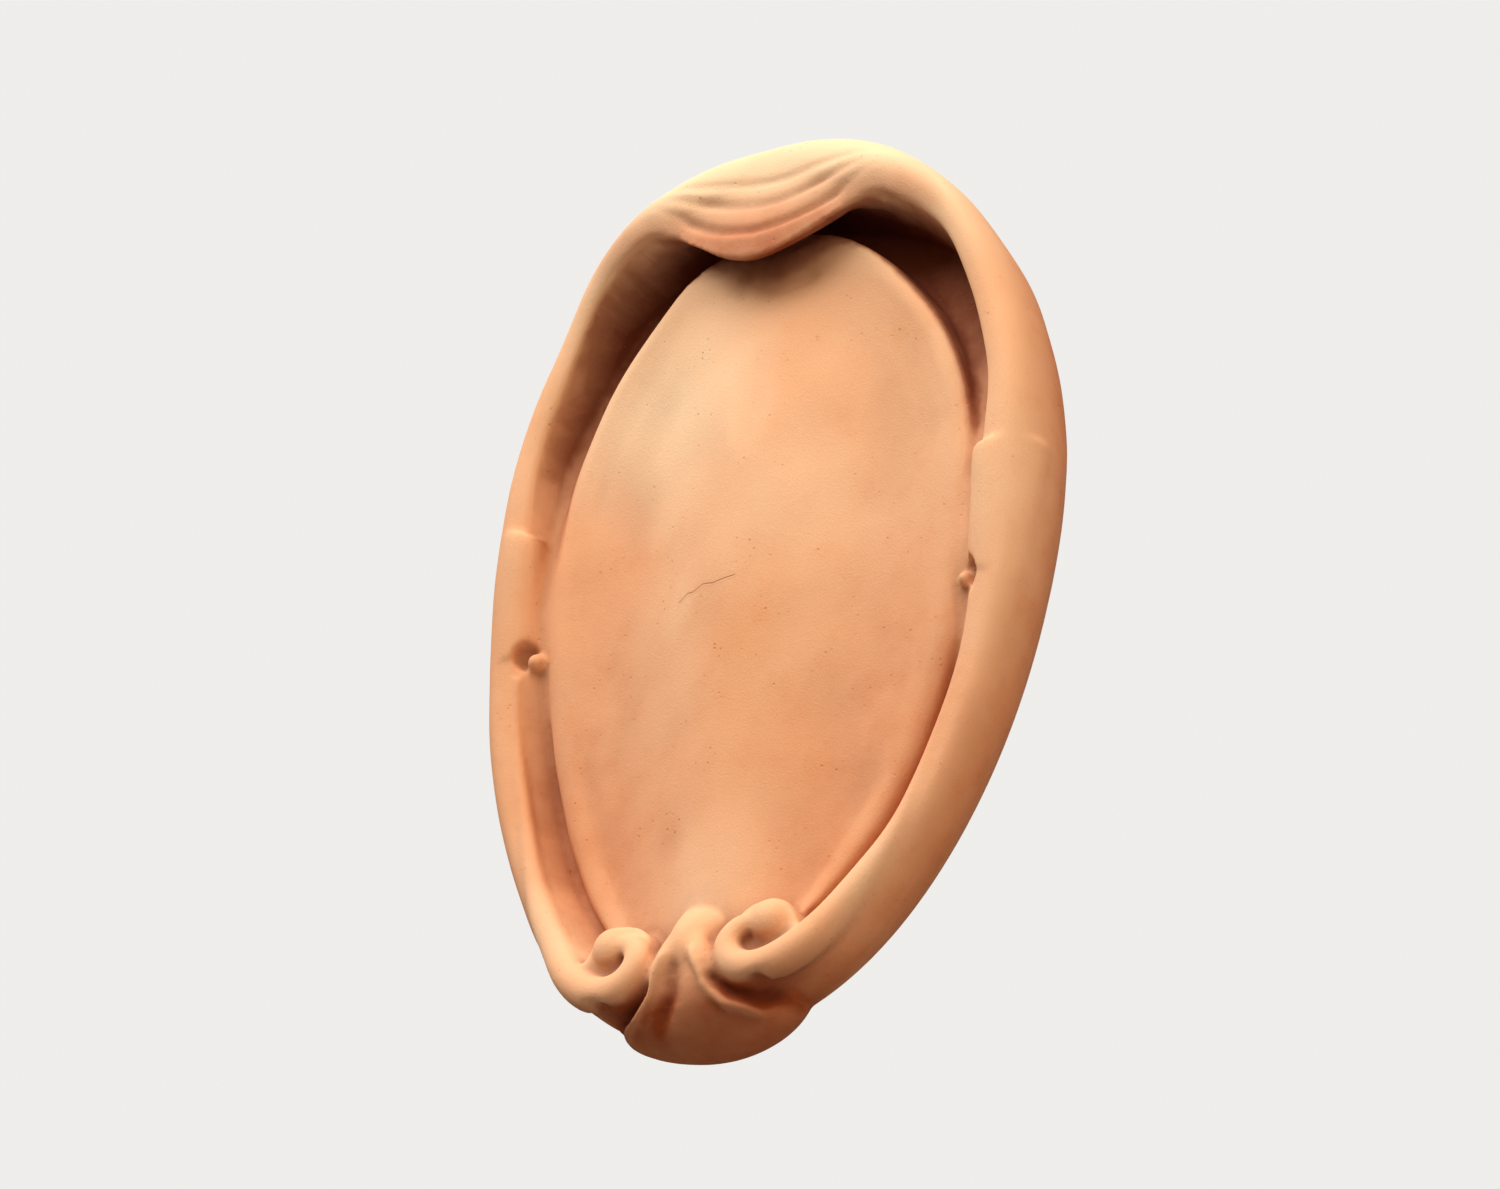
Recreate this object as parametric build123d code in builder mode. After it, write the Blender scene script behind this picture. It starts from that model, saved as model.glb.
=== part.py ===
"""Oval wall cartouche: one hollow-backed block of fired clay.

The face is a plain domed field inside a scrolled frame. A hood with a drooping,
reeded crest covers the upper half, two scrolls rise from the foot to a cuff at
each side, and a tongue parts the scrolls. X is to the right, Y goes into the
wall, Z is up. The origin is on the wall plane, and relief is measured off it.
"""

import os
from math import cos, hypot, pi, radians, sin

from build123d import *

# Outline of the block at its fullest, as two half ellipses that meet at the waist
half_width = 304.0
rise_above_waist = 402.0
drop_below_waist = 484.0
waist_z = 45.0
crest_z = waist_z + rise_above_waist
turn_under = 36.0
base_trim = 6.0

# Roll of the frame: how far its lip stands inside the outline, and where it swells
roll_crest = 58.0
roll_peak = 47.0
roll_shoulder = 27.0
roll_side = 46.0
roll_foot = 36.0
belly_height = 0.55
crown_place = 0.36
crown_rise = 4.0

# Relief of the frame's lip off the wall, round the oval
relief_crest = 157.0
relief_peak = 166.0
relief_shoulder = 131.0
relief_cuff = 106.0
relief_low = 78.0
relief_foot = 74.0

# Hollow between the lip and the field
gutter_relief_crest = 82.0
gutter_relief_cuff = 92.0
gutter_relief_low = 45.0
gutter_relief_foot = 50.0
gutter_slope_high = 13.0
gutter_slope_low = 22.0
frame_overlap = 18.0

# Field, set back from the outline at the sides, the crest and the foot
field_half_width = half_width - 65.0
field_rise = rise_above_waist - 99.0
field_drop = drop_below_waist - 60.0
field_dome = 34.0
field_dip = 5.0
dip_place = 0.8
shoulder_place = 0.94
shoulder_drop = 3.0
edge_drop = 11.0
field_blunt = 0.4

# Crest lobe and its reeds
lobe_half_width = 130.0
lobe_low_z = crest_z - 143.0
lobe_peak_z = crest_z - 95.0
lobe_top_z = crest_z - 40.0
lobe_end_height = 26.0
lobe_low_relief = relief_peak + 18.0
lobe_peak_relief = relief_peak - 2.0
lobe_top_relief = relief_crest - 7.0
lobe_end_step = 6.0
lobe_thickness = 16.0
lobe_undercut = 5.0
lobe_heel = 0.3
lobe_sink = 30.0
lobe_spread = (-0.35, 0, 0.35, 0.7, 1, 1.15)
reed_seams = (0, 0.46, 0.63, 0.77, 0.89, 1)
reed_swell = 0.18
reed_width = 14.0

# Cuff between hood and scroll: angle from the crest and share of its full step
cuff_stations = [(79, 0.9), (83, 1.0), (91, 0.8), (99, 0.65), (105, 0.5)]
cuff_step = 10.0
cuff_crown_place = 0.55
cuff_crown_step = 0.35
cuff_edge_place = 0.1
cuff_inner_step = 0.5
cuff_wrap = 1.0
cuff_sink = 5.0
cuff_margin = 15.0
cuff_depth = 20.0
cuff_floor = 0.5

# Eye under the cuff's end
eye_radius = 15.0
bud_radius = 8.5
bud_sink = 9.0
eye_angle = 105.0
eye_inset = 12.0
eye_sink = 2.0

# Scroll bead and its volute
bead_radius_top = 7.0
bead_radius_foot = 17.0
bead_sink = 5.0
volute_x = 80.0
volute_z = waist_z - drop_below_waist + 70.0
volute_coil = 31.0
volute_relief = 96.0
knob_radius = 24.0
knob_lift = 18.0
knob_shift = 8.0
knob_sink = 9.0
seat_margin = 10.0
seat_relief = 96.0
seat_depth = 45.0

# Tongue, its ribs and the swelling of the foot behind them
tongue_half_width = 27.0
tongue_relief = 112.0
tongue_top_z = volute_z + 86.0
tongue_shoulder_place = 0.7
tongue_shoulder_share = 0.93
tongue_side_share = 0.5
rib_radius = 14.0
foot_half_width = 106.0
foot_radius = 58.0
foot_relief = 48.0
foot_z = volute_z - 26.0

# Hollow back
shell_thickness = 28.0
cell_margin = 20.0
web_thickness = 26.0
web_z = 26.0

# Anchor holes
anchor_radius = 8.0
anchor_depth = 45.0
anchor_spacing_x = 2 * (half_width - 88.0)
anchor_spacing_z = 354.0


def ellipse_radius(angle, across, above, below):
    """Distance from the waist centre to a two-part oval, at an angle from straight up."""
    upright = above if cos(radians(angle)) > 0 else below
    return 1 / hypot(sin(radians(angle)) / across, cos(radians(angle)) / upright)


def outline_radius(angle):
    """Distance from the waist centre to the fullest outline."""
    return ellipse_radius(angle, half_width, rise_above_waist, drop_below_waist)


def station_plane(angle):
    """Upright plane through the waist centre, with x outward and y off the wall."""
    outward = (sin(radians(angle)), 0, cos(radians(angle)))
    across = (cos(radians(angle)), 0, -sin(radians(angle)))
    return Plane(origin=(0, 0, waist_z), x_dir=outward, z_dir=across)


def oval_face(across, above, below, plane):
    """Face of an oval made of two half ellipses that meet at the waist."""
    with BuildSketch(plane) as oval:
        with BuildLine():
            EllipticalCenterArc((0, waist_z), across, above, arc_size=180)
            EllipticalCenterArc((0, waist_z), across, below, start_angle=180, arc_size=180)
        make_face()
    return oval.sketch


# Frame stations: angle from the crest, roll, lip relief, gutter relief and gutter slope
frame_stations = [
    (0, roll_crest, relief_crest, gutter_relief_crest, gutter_slope_high),
    (22, roll_peak, relief_peak, gutter_relief_crest, gutter_slope_high),
    (34, roll_shoulder, relief_peak - 19, gutter_relief_crest, gutter_slope_high),
    (48, roll_shoulder + 5, relief_shoulder - 2, gutter_relief_crest + 2, gutter_slope_high),
    (64, roll_side - 11, relief_shoulder - 11, gutter_relief_crest + 6, gutter_slope_high),
    (82, roll_side, relief_cuff + 6, gutter_relief_cuff, gutter_slope_high + 4),
    (98, roll_side, relief_cuff - 4, gutter_relief_cuff - 2, gutter_slope_low - 6),
    (114, roll_side - 6, relief_cuff - 14, gutter_relief_cuff - 17, gutter_slope_low - 3),
    (130, roll_side - 10, relief_low + 4, gutter_relief_low + 6, gutter_slope_low),
    (146, roll_side - 8, relief_low, gutter_relief_low, gutter_slope_low),
    (162, roll_foot + 4, relief_low + 4, gutter_relief_low + 4, gutter_slope_low),
    (180, roll_foot, relief_foot, gutter_relief_foot, gutter_slope_low),
]


def frame_section(angle, roll, lip_relief, gutter_relief, gutter_slope):
    """One closed section of the frame, drawn in its station plane."""
    belly = outline_radius(angle)
    lip = belly - roll
    gutter = lip - gutter_slope
    inner = ellipse_radius(angle, field_half_width, field_rise, field_drop) - frame_overlap
    with BuildSketch(station_plane(angle)) as section:
        with BuildLine():
            Spline(
                (belly - turn_under, -base_trim),
                (belly, belly_height * lip_relief),
                (lip + crown_place * roll, lip_relief + crown_rise),
                (lip, lip_relief),
                tangents=[(0.75, 1), (-0.6, -1)],
                tangent_scalars=[0.9, 0.5],
            )
            Polyline(
                (lip, lip_relief),
                (gutter, gutter_relief),
                (inner, gutter_relief),
                (inner, -base_trim),
                (belly - turn_under, -base_trim),
            )
        make_face()
    return section.sketch


# Right half of the frame, lofted past both ends so that the halves meet smoothly
crest_lead = [(-angle, *rest) for angle, *rest in frame_stations[2:0:-1]]
foot_lead = [(360 - angle, *rest) for angle, *rest in frame_stations[-2:-4:-1]]
with BuildPart() as frame_half:
    loft([frame_section(*station) for station in crest_lead + frame_stations + foot_lead])
    split(bisect_by=Plane.YZ, keep=Keep.TOP)


# Field stations: height as a share of the reach from the waist, edge relief and dome share
field_stations = [
    (-1.01, relief_low, 0.3),
    (-0.84, relief_low - 8, 0.5),
    (-0.65, relief_low - 12, 0.8),
    (-0.44, relief_low - 4, 0.95),
    (-0.22, relief_cuff - 19, 1.0),
    (0.0, relief_cuff - 9, 1.0),
    (0.31, relief_cuff, 1.0),
    (0.61, relief_shoulder - 12, 0.6),
    (0.84, relief_shoulder, 0.1),
    (1.01, relief_shoulder + 4, 0.0),
]


def field_section(reach, edge_relief, dome_share, sink=0.0):
    """Section of the field on a level plane, with a domed top and dipped margins."""
    z = waist_z + reach * (field_rise if reach > 0 else field_drop)
    half = field_half_width * max((1 - min(reach**2, 1)) ** 0.5, field_blunt)
    edge = edge_relief - sink
    dip = edge - field_dip * dome_share
    margin = edge - edge_drop
    with BuildSketch(Plane(origin=(0, 0, z), x_dir=(1, 0, 0), z_dir=(0, 0, 1))) as section:
        with BuildLine():
            Spline(
                (half, -margin),
                (shoulder_place * half, shoulder_drop - edge),
                (dip_place * half, -dip),
                (0, -edge - field_dome * dome_share),
                (-dip_place * half, -dip),
                (-shoulder_place * half, shoulder_drop - edge),
                (-half, -margin),
            )
            Polyline((-half, -margin), (-half, 0), (half, 0), (half, -margin))
        make_face()
    return section.sketch


with BuildPart() as field:
    loft([field_section(*station) for station in field_stations])
    extrude(
        oval_face(field_half_width, field_rise, field_drop, Plane.XZ),
        amount=2 * relief_peak,
        mode=Mode.INTERSECT,
    )


def lobe_section(share):
    """Upright section of the crest lobe, at a share of its half width from the middle."""
    droop = (1 + cos(pi * min(share, 1))) / 2
    arch = 1 - min(share, 1) ** 2
    end_top_z = lobe_peak_z + lobe_end_height
    edge_z = lobe_peak_z - (lobe_peak_z - lobe_low_z) * droop
    edge = lobe_peak_relief + (lobe_low_relief - lobe_peak_relief) * droop
    top_z = end_top_z + (lobe_top_z - end_top_z) * arch
    top = lobe_peak_relief - lobe_end_step
    top += (lobe_top_relief - top) * arch - lobe_sink * max(share - 1, 0)
    edge -= lobe_sink * max(share - 1, 0)
    seams = []
    for part in reed_seams:
        seams.append((-(top + (edge - top) * part), top_z + (edge_z - top_z) * part))
    crest, rim = seams[0], seams[-1]
    upright = Plane(origin=(share * lobe_half_width, 0, 0), x_dir=(0, 1, 0), z_dir=(1, 0, 0))
    with BuildSketch(upright) as section:
        with BuildLine():
            for start, end in zip(seams, seams[1:]):
                swell = reed_swell * min(start[1] - end[1], reed_width)
                middle = ((start[0] + end[0]) / 2 - swell, (start[1] + end[1]) / 2)
                ThreePointArc(start, middle, end)
            Polyline(
                rim,
                (rim[0] + lobe_thickness, rim[1] + lobe_undercut),
                (crest[0] + 1.6 * lobe_thickness, crest[1] - lobe_heel * (crest[1] - rim[1])),
                (crest[0] + 2 * lobe_thickness, crest[1]),
                crest,
            )
        make_face()
    return section.sketch


# Crest lobe: reeds nest under each other and run out at the lip's two peaks
with BuildPart() as lobe:
    loft([lobe_section(share) for share in lobe_spread])
    split(bisect_by=Plane.YZ, keep=Keep.TOP)


def interpolate_station(angle):
    """Roll, lip relief, gutter relief and slope of the frame between two stations."""
    after = next(k for k, station in enumerate(frame_stations) if station[0] >= angle)
    low, high = frame_stations[after - 1], frame_stations[after]
    share = (angle - low[0]) / (high[0] - low[0])
    return [a + (b - a) * share for a, b in zip(low[1:], high[1:])]


def cuff_section(angle, share):
    """Section of the cuff, a skin over the roll that reaches in to the field."""
    roll, lip_relief, gutter_relief, _ = interpolate_station(angle)
    belly = outline_radius(angle)
    lip = belly - roll
    step = cuff_step * share
    outer = (belly + cuff_wrap * share - cuff_sink, belly_height * lip_relief)
    inner = (lip - cuff_margin, gutter_relief + cuff_inner_step * step)
    floor = cuff_floor * lip_relief
    crown = lip_relief + cuff_crown_step * step
    with BuildSketch(station_plane(angle)) as section:
        with BuildLine():
            Spline(
                outer,
                (lip + cuff_crown_place * roll, crown),
                (lip + cuff_edge_place * roll, lip_relief + step),
                inner,
            )
            Polyline(inner, (lip - cuff_margin, floor), (belly - cuff_depth, floor), outer)
        make_face()
    return section.sketch


# Cuff: the scroll's upper end wraps the roll and stands proud of the hood
with BuildPart() as cuff:
    loft([cuff_section(*station) for station in cuff_stations])


def lip_point(angle, lift=0.0):
    """Point on the frame's lip at an angle from the crest."""
    roll, lip_relief, *_ = interpolate_station(angle)
    radius = outline_radius(angle) - roll
    return Vector(
        radius * sin(radians(angle)), -(lip_relief + lift), waist_z + radius * cos(radians(angle))
    )


def roll_point(angle, inset, relief):
    """Point in the frame's roll, at an inset from the outline and a relief."""
    radius = outline_radius(angle) - inset
    return Vector(radius * sin(radians(angle)), -relief, waist_z + radius * cos(radians(angle)))


def coil_point(angle, share, sink=0.0):
    """Point on the volute, at an angle from straight up and a share of its coil."""
    reach = volute_coil * share
    return Vector(
        volute_x + reach * sin(radians(angle)),
        sink - volute_relief,
        volute_z + reach * cos(radians(angle)),
    )


# Scroll: its bead leaves the cuff along the lip, swells, and curls round to a knob
bead_points = [lip_point(angle, -bead_sink) for angle in (109, 122, 134)]
bead_points += [
    roll_point(146, 29, relief_low - 4),
    roll_point(156, 23, relief_low + 1),
    coil_point(140, 1.1, 2),
    coil_point(178, 1.0, -1),
    coil_point(222, 1.0, -3),
    coil_point(264, 0.95, -3),
    coil_point(300, 0.75, -1),
    coil_point(340, 0.55, 1),
]
with BuildLine() as bead_path:
    Spline(*bead_points)

bead_sections = []
for share, radius in (
    (0, bead_radius_top),
    (0.3, 1.3 * bead_radius_top),
    (0.65, bead_radius_foot),
    (1, 0.7 * bead_radius_foot),
):
    with BuildSketch(bead_path.line ^ share) as bead_circle:
        Circle(radius)
    bead_sections.append(bead_circle.sketch)

with BuildPart() as scroll:
    sweep(bead_sections, path=bead_path.line, multisection=True)
    with Locations(bead_points[-1]):
        Sphere(0.7 * bead_radius_foot)
    with Locations((volute_x + knob_shift, knob_sink - volute_relief, volute_z + knob_lift)):
        Sphere(knob_radius)

# Seat that fills the volute behind its bead
with BuildPart() as volute_seat:
    with BuildSketch(Plane.XZ.offset(seat_relief - seat_depth)) as seat:
        with Locations((volute_x, volute_z)):
            Circle(volute_coil + seat_margin)
    extrude(amount=seat_depth)

# Eye: a round hollow under the cuff's end, where the gutter of the scroll starts
eye_centre = lip_point(eye_angle, -eye_sink) - Vector(eye_inset, 0, 0)
with BuildPart() as eye:
    with Locations(eye_centre):
        Sphere(eye_radius)


def tongue_section(fall, width_share, relief_share):
    """Level section of the tongue, at a fall from its top."""
    half = tongue_half_width * width_share
    crown = tongue_relief * relief_share
    side = tongue_side_share * crown
    level = Plane(origin=(0, 0, tongue_top_z - fall), x_dir=(1, 0, 0), z_dir=(0, 0, 1))
    with BuildSketch(level) as section:
        with BuildLine():
            Spline(
                (half, -side),
                (tongue_shoulder_place * half, -tongue_shoulder_share * crown),
                (0, -crown),
                (-tongue_shoulder_place * half, -tongue_shoulder_share * crown),
                (-half, -side),
            )
            Polyline((-half, -side), (-half, 0), (half, 0), (half, -side))
        make_face()
    return section.sketch


# Tongue: it rises out of the field between the volutes and runs down into the foot
with BuildPart() as tongue:
    loft(
        [
            tongue_section(0, 0.6, 0.56),
            tongue_section(30, 0.85, 0.76),
            tongue_section(55, 0.95, 0.94),
            tongue_section(85, 0.85, 1.0),
            tongue_section(112, 0.9, 0.9),
            tongue_section(138, 0.9, 0.66),
        ]
    )


def rib_point(x, relief, fall):
    """Point on a tongue rib: x from the middle, relief, and fall from the tongue's top."""
    return Vector(x, -relief, tongue_top_z - fall)


# Ribs: they leave the tongue, part under the volutes and die into the foot
rib_points = [
    rib_point(9, tongue_relief - 22, 62),
    rib_point(14, tongue_relief - 14, 84),
    rib_point(24, tongue_relief - 17, 106),
    rib_point(42, tongue_relief - 27, 130),
    rib_point(62, tongue_relief - 41, 141),
    rib_point(80, tongue_relief - 56, 139),
]
with BuildLine() as rib_path:
    Spline(*rib_points)

rib_sections = []
for share, radius in (
    (0, 0.7 * rib_radius),
    (0.35, rib_radius),
    (0.75, 0.9 * rib_radius),
    (1, 0.55 * rib_radius),
):
    with BuildSketch(rib_path.line ^ share) as rib_circle:
        Circle(radius)
    rib_sections.append(rib_circle.sketch)

with BuildPart() as rib:
    sweep(rib_sections, path=rib_path.line, multisection=True)
    with Locations(rib_points[0]):
        Sphere(0.7 * rib_radius)
    with Locations(rib_points[-1]):
        Sphere(0.55 * rib_radius)

# Foot swelling behind the tongue
with BuildPart() as foot:
    Sphere(foot_radius)
    scale(by=(foot_half_width / foot_radius, 1, 1))

with BuildPart() as right_half:
    add(frame_half.part)
    for piece in (lobe, cuff, volute_seat, scroll, tongue, rib):
        add(piece.part)
    with Locations((0, -foot_relief, foot_z)):
        add(foot.part)
    add(eye.part, mode=Mode.SUBTRACT)
    with Locations(eye_centre + Vector(-0.5 * bud_radius, bud_sink, -0.4 * bud_radius)):
        Sphere(bud_radius)
    split(bisect_by=Plane.YZ, keep=Keep.TOP)

# Hollow back: four cells, parted by an upright and a level web
with BuildPart() as cells:
    loft([field_section(*station, sink=shell_thickness) for station in field_stations])
    extrude(
        oval_face(
            field_half_width - cell_margin,
            field_rise - cell_margin,
            field_drop - cell_margin,
            Plane.XZ,
        ),
        amount=2 * relief_peak,
        mode=Mode.INTERSECT,
    )
    with Locations((0, -relief_peak / 2, web_z)):
        Box(web_thickness, relief_peak, 3 * rise_above_waist, mode=Mode.SUBTRACT)
        Box(3 * half_width, relief_peak, web_thickness, mode=Mode.SUBTRACT)

with BuildPart() as cartouche:
    add(field.part)
    add(right_half.part)
    mirror(right_half.part, about=Plane.YZ)
    split(bisect_by=Plane.XZ, keep=Keep.TOP)
    add(cells.part, mode=Mode.SUBTRACT)
    with BuildSketch(Plane.XZ) as anchors:
        with Locations((0, web_z)):
            with GridLocations(anchor_spacing_x, anchor_spacing_z, 2, 2):
                Circle(anchor_radius)
    extrude(amount=anchor_depth, mode=Mode.SUBTRACT)

cartouche.part.label = "cartouche"
os.makedirs("parts", exist_ok=True)
export_step(cartouche.part, "parts/cartouche.step")
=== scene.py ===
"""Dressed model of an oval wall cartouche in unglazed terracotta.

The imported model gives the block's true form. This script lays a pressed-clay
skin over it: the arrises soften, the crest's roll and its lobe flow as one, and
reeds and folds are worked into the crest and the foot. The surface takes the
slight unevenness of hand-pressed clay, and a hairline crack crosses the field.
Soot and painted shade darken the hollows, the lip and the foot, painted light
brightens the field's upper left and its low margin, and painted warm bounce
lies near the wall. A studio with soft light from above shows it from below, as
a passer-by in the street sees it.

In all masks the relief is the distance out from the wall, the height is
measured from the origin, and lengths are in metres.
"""

from __future__ import annotations

import logging
import math
from dataclasses import dataclass, replace
from enum import Enum

import bpy
import numpy as np
from mathutils import Matrix, Vector
from mathutils.bvhtree import BVHTree

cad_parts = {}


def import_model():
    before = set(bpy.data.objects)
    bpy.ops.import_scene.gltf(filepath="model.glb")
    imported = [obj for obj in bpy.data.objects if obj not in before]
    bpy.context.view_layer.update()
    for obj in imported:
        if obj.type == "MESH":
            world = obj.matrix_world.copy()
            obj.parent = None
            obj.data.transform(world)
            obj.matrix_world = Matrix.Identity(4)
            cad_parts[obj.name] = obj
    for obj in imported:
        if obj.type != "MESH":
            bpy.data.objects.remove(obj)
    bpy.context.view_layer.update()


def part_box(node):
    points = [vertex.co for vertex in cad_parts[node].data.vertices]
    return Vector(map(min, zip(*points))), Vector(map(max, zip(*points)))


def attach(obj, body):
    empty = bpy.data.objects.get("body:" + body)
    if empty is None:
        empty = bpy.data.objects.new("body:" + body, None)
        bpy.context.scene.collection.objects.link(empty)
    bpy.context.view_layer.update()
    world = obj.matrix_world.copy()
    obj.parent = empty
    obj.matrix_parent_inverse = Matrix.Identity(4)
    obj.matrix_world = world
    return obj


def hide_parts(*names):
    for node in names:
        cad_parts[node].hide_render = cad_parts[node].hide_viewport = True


LOG = logging.getLogger("cartouche")
RELAX_SHARE = 0.6
PATCH_FALLOFF = 1.5


class Measure(Enum):
    """What the material knows of each point: its place, how hollow and how sheltered it lies, and
    the clay's noise.
    """

    ACROSS = "across"
    RELIEF = "relief"
    HEIGHT = "height"
    HOLLOW = "hollow"
    SHELTER = "shelter"
    CLOUD = "cloud"
    MOTTLE = "mottle"
    GRAIN = "grain"


def deselect_all() -> None:
    """Leave object mode's selection empty."""
    for item in bpy.context.selected_objects:
        item.select_set(False)


def make_active(piece: bpy.types.Object) -> None:
    """Select one object alone and make it the active one.

    Args:
        piece: The object.
    """
    deselect_all()
    piece.select_set(True)
    bpy.context.view_layer.objects.active = piece


def linear(red: int, green: int, blue: int) -> tuple[float, float, float, float]:
    """Turn a colour in 0 to 255 display values into scene-linear values.

    Args:
        red: Red display value.
        green: Green display value.
        blue: Blue display value.

    Returns:
        The linear colour with an alpha of one.
    """
    channels = []
    for value in (red, green, blue):
        share = value / 255
        channels.append(share / 12.92 if share <= 0.04045 else ((share + 0.055) / 1.055) ** 2.4)
    return (*channels, 1.0)


@dataclass
class Wire:
    """A number socket that takes part in Python arithmetic by adding Math nodes."""

    tree: bpy.types.NodeTree
    socket: bpy.types.NodeSocket

    def _math(self, operation: str, other: Wire | float, flipped: bool = False) -> Wire:
        """Add a Math node.

        Args:
            operation: The Math node's operation.
            other: The second value or wire.
            flipped: Whether the other value comes first.

        Returns:
            The result's wire.
        """
        node = self.tree.nodes.new("ShaderNodeMath")
        node.operation = operation
        operands = (other, self) if flipped else (self, other)
        for slot, operand in zip(node.inputs, operands):
            if isinstance(operand, Wire):
                self.tree.links.new(operand.socket, slot)
            else:
                slot.default_value = operand
        return Wire(self.tree, node.outputs[0])

    def __add__(self, other: Wire | float) -> Wire:
        """Sum."""
        return self._math("ADD", other)

    __radd__ = __add__

    def __sub__(self, other: Wire | float) -> Wire:
        """Difference."""
        return self._math("SUBTRACT", other)

    def __rsub__(self, other: float) -> Wire:
        """Difference with the plain number first."""
        return self._math("SUBTRACT", other, flipped=True)

    def __mul__(self, other: Wire | float) -> Wire:
        """Product."""
        return self._math("MULTIPLY", other)

    __rmul__ = __mul__

    def __pow__(self, other: float) -> Wire:
        """Power."""
        return self._math("POWER", other)

    def least(self, other: Wire | float) -> Wire:
        """The smaller of two values."""
        return self._math("MINIMUM", other)

    def clamped(self) -> Wire:
        """Hold the value between zero and one.

        Returns:
            The held value's wire.
        """
        result = self._math("ADD", 0.0)
        result.socket.node.use_clamp = True
        return result


Readings = dict[Measure, Wire]


class NodeDraft:
    """A material's or world's node tree, with one method that adds any node."""

    def __init__(self, owner: bpy.types.Material | bpy.types.World) -> None:
        """Start on an empty tree.

        Args:
            owner: The material or world that the nodes are for.
        """
        owner.use_nodes = True
        self.tree = owner.node_tree
        self.tree.nodes.clear()

    def node(
        self, kind: str, settings: dict[str, object] | None = None, **inputs: object
    ) -> bpy.types.Node:
        """Add a node, set it up and fill its sockets.

        Args:
            kind: The node's type name.
            settings: Node properties, and "stops" for a colour ramp.
            **inputs: Socket values or links by socket name, with _ for a space.

        Returns:
            The new node.
        """
        made = self.tree.nodes.new(kind)
        for key, value in (settings or {}).items():
            if key == "stops":
                self._set_stops(made, value)
            else:
                setattr(made, key, value)
        for key, value in inputs.items():
            self._fill(made.inputs[key.replace("_", " ")], value)
        return made

    def _fill(self, socket: bpy.types.NodeSocket, value: object) -> None:
        """Link a socket, or set its value.

        Args:
            socket: The input socket.
            value: A wire, an output socket or a plain value.
        """
        if isinstance(value, Wire):
            self.tree.links.new(value.socket, socket)
        elif isinstance(value, bpy.types.NodeSocket):
            self.tree.links.new(value, socket)
        else:
            socket.default_value = value

    @staticmethod
    def _set_stops(node: bpy.types.Node, stops: list[tuple[float, tuple]]) -> None:
        """Give a colour ramp its stops.

        Args:
            node: The colour ramp.
            stops: Places from zero to one with their colours, in order.
        """
        elements = node.color_ramp.elements
        while len(elements) < len(stops):
            elements.new(0.5)
        for element, (place, colour) in zip(elements, stops):
            element.position = place
            element.color = colour

    def wire(self, node: bpy.types.Node, output: str | int = 0) -> Wire:
        """Wrap one of a node's outputs."""
        return Wire(self.tree, node.outputs[output])

    def mix(self, factor: Wire | float, first: object, second: object) -> bpy.types.NodeSocket:
        """Mix two colours.

        Args:
            factor: Share of the second colour, which the node holds between zero and one.
            first: Colour or colour socket.
            second: Colour or colour socket.

        Returns:
            The mixed colour's socket.
        """
        node = self.node("ShaderNodeMix", {"data_type": "RGBA", "clamp_factor": True})
        sockets = {socket.identifier: socket for socket in node.inputs}
        values = {"Factor_Float": factor, "A_Color": first, "B_Color": second}
        for key, value in values.items():
            self._fill(sockets[key], value)
        return next(s for s in node.outputs if s.identifier == "Result_Color")

    def attribute(self, name: str) -> Wire:
        """Read one of the numbers that the mesh stores for each point."""
        return self.wire(self.node("ShaderNodeAttribute", {"attribute_name": name}), "Fac")


@dataclass(frozen=True)
class Noise:
    """A fractal noise: cells in a metre, octaves, and how strong the finer octaves are."""

    scale: float
    detail: float
    roughness: float = 0.5

    def over(self, draft: NodeDraft, place: object) -> Wire:
        """Add the noise to a material.

        Args:
            draft: The material being made.
            place: Vector socket.

        Returns:
            The noise value.
        """
        made = draft.node(
            "ShaderNodeTexNoise",
            Vector=place,
            Scale=self.scale,
            Detail=self.detail,
            Roughness=self.roughness,
        )
        return draft.wire(made, "Fac")


class Mask:
    """A number over the block that a wash of colour follows."""

    def over(self, readings: Readings) -> Wire:
        """The mask's value over the block."""
        raise NotImplementedError


@dataclass(frozen=True)
class Slope(Mask):
    """A mask that climbs to one past its start, or with a negative rate dies away towards it."""

    measure: Measure
    start: float
    rate: float

    def over(self, readings: Readings) -> Wire:
        """The mask, held between zero and one."""
        return ((readings[self.measure] - self.start) * self.rate).clamped()


@dataclass(frozen=True)
class Patch(Mask):
    """A soft round patch on the block's face."""

    middle_x: float
    middle_z: float
    radius: float

    def over(self, readings: Readings) -> Wire:
        """Fade the patch out from its middle.

        Args:
            readings: What the material knows of each point.

        Returns:
            The patch's strength, one at its middle.
        """
        off_x = readings[Measure.ACROSS] - self.middle_x
        off_z = readings[Measure.HEIGHT] - self.middle_z
        reach = (off_x * off_x + off_z * off_z) * (1 / self.radius**2)
        return (1.0 - reach).clamped() ** PATCH_FALLOFF


@dataclass(frozen=True)
class MaskSum(Mask):
    """Masks added up, each by its share, on top of a floor."""

    floor: float
    parts: tuple[tuple[float, Mask], ...]

    def over(self, readings: Readings) -> Wire:
        """The floor and the masks' shares together."""
        return sum((share * mask.over(readings) for share, mask in self.parts), self.floor)


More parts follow.
